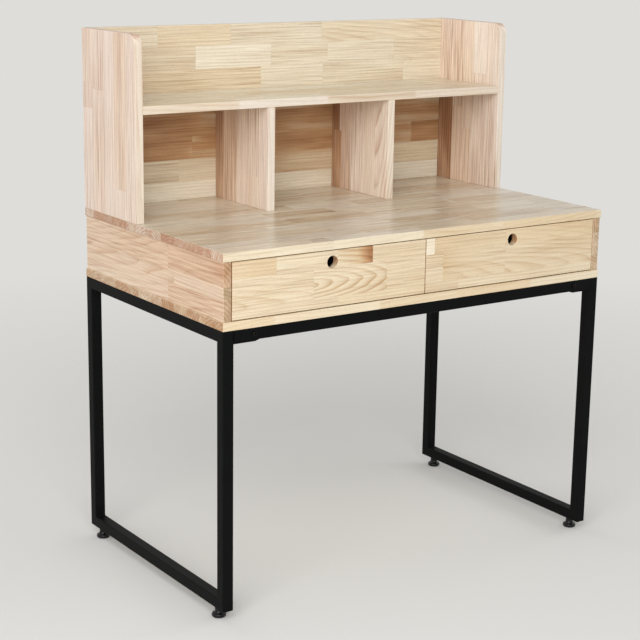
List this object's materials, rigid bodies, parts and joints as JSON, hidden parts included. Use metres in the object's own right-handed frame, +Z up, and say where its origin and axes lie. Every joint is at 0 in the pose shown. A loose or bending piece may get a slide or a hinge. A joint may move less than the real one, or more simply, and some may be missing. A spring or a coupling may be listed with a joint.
{
  "type": "desk with shelves",
  "caption": "Rubberwood writing desk with inset drawers, a hutch of cubbies under an open shelf, and a black square-tube frame on levelling feet.",
  "frame": {"origin": "on the floor, under the middle of the desk", "axes": "+Z up, +X to the right of someone who sits at the desk, and the front faces -Y"},
  "size_m": [1.005, 0.6066, 1.169],
  "materials": {
    "rubberwood": "finger-jointed rubberwood board, clear satin lacquer",
    "drawer_plywood": "thin plywood, clear lacquer",
    "dowel_beech": "raw beech",
    "frame_powder_coat": "black powder coat, satin",
    "bolt_black_oxide": "black oxide",
    "runner_zinc": "bright zinc plate",
    "fastener_zinc": "zinc plate",
    "foot_plastic": "black moulded plastic, satin"
  },
  "bodies": {
    "desk": {"back_panel": "rubberwood", "base_panel": "rubberwood", "bay_runner_screws": "fastener_zinc", "centre_divider": "rubberwood", "cross_rail_bolts": "bolt_black_oxide", "cross_rail_sockets": "frame_powder_coat", "desktop": "rubberwood", "frame_screws": "fastener_zinc", "front_cross_rail": "frame_powder_coat", "hutch_back_panel": "rubberwood", "hutch_divider_1": "rubberwood", "hutch_divider_2": "rubberwood", "hutch_left_side": "rubberwood", "hutch_right_side": "rubberwood", "hutch_shelf": "rubberwood", "left_bay_left_runner": "runner_zinc", "left_bay_right_runner": "runner_zinc", "left_bottom_rail": "frame_powder_coat", "left_front_leg": "frame_powder_coat", "left_rear_leg": "frame_powder_coat", "left_side_panel": "rubberwood", "left_top_rail": "frame_powder_coat", "panel_dowels": "dowel_beech", "rear_cross_rail": "frame_powder_coat", "right_bay_left_runner": "runner_zinc", "right_bay_right_runner": "runner_zinc", "right_bottom_rail": "frame_powder_coat", "right_front_leg": "frame_powder_coat", "right_rear_leg": "frame_powder_coat", "right_side_panel": "rubberwood", "right_top_rail": "frame_powder_coat", "weld_nuts": "fastener_zinc"},
    "left_drawer": {"left_drawer_back": "rubberwood", "left_drawer_bottom": "drawer_plywood", "left_drawer_dowels": "dowel_beech", "left_drawer_front": "rubberwood", "left_drawer_left_runner": "runner_zinc", "left_drawer_left_side": "rubberwood", "left_drawer_right_runner": "runner_zinc", "left_drawer_right_side": "rubberwood", "left_drawer_runner_screws": "fastener_zinc"},
    "left_drawer_cages": {"left_drawer_ball_cages": "runner_zinc"},
    "left_front_levelling_foot": {"left_front_foot": "foot_plastic", "left_front_foot_stud": "fastener_zinc"},
    "left_rear_levelling_foot": {"left_rear_foot": "foot_plastic", "left_rear_foot_stud": "fastener_zinc"},
    "right_drawer": {"right_drawer_back": "rubberwood", "right_drawer_bottom": "drawer_plywood", "right_drawer_dowels": "dowel_beech", "right_drawer_front": "rubberwood", "right_drawer_left_runner": "runner_zinc", "right_drawer_left_side": "rubberwood", "right_drawer_right_runner": "runner_zinc", "right_drawer_right_side": "rubberwood", "right_drawer_runner_screws": "fastener_zinc"},
    "right_drawer_cages": {"right_drawer_ball_cages": "runner_zinc"},
    "right_front_levelling_foot": {"right_front_foot": "foot_plastic", "right_front_foot_stud": "fastener_zinc"},
    "right_rear_levelling_foot": {"right_rear_foot": "foot_plastic", "right_rear_foot_stud": "fastener_zinc"}
  },
  "joints": [
    {"name": "left_drawer_slide", "type": "slide", "parent": "desk", "child": "left_drawer", "axis": [0, -1, 0], "range_m": [0, 0.33]},
    {"name": "left_drawer_cage_roll", "type": "slide", "parent": "desk", "child": "left_drawer_cages", "axis": [0, -1, 0], "range_m": [0, 0.165]},
    {"name": "right_drawer_slide", "type": "slide", "parent": "desk", "child": "right_drawer", "axis": [0, -1, 0], "range_m": [0, 0.33]},
    {"name": "right_drawer_cage_roll", "type": "slide", "parent": "desk", "child": "right_drawer_cages", "axis": [0, -1, 0], "range_m": [0, 0.165]},
    {"name": "left_front_foot_screw", "type": "slide", "parent": "desk", "child": "left_front_levelling_foot", "axis": [0, 0, -1], "range_m": [0, 0.012]},
    {"name": "left_rear_foot_screw", "type": "slide", "parent": "desk", "child": "left_rear_levelling_foot", "axis": [0, 0, -1], "range_m": [0, 0.012]},
    {"name": "right_front_foot_screw", "type": "slide", "parent": "desk", "child": "right_front_levelling_foot", "axis": [0, 0, -1], "range_m": [0, 0.012]},
    {"name": "right_rear_foot_screw", "type": "slide", "parent": "desk", "child": "right_rear_levelling_foot", "axis": [0, 0, -1], "range_m": [0, 0.012]}
  ],
  "couplings": [
    {"joint": "left_drawer_cage_roll", "follows": "left_drawer_slide", "ratio": 0.5},
    {"joint": "right_drawer_cage_roll", "follows": "right_drawer_slide", "ratio": 0.5}
  ]
}
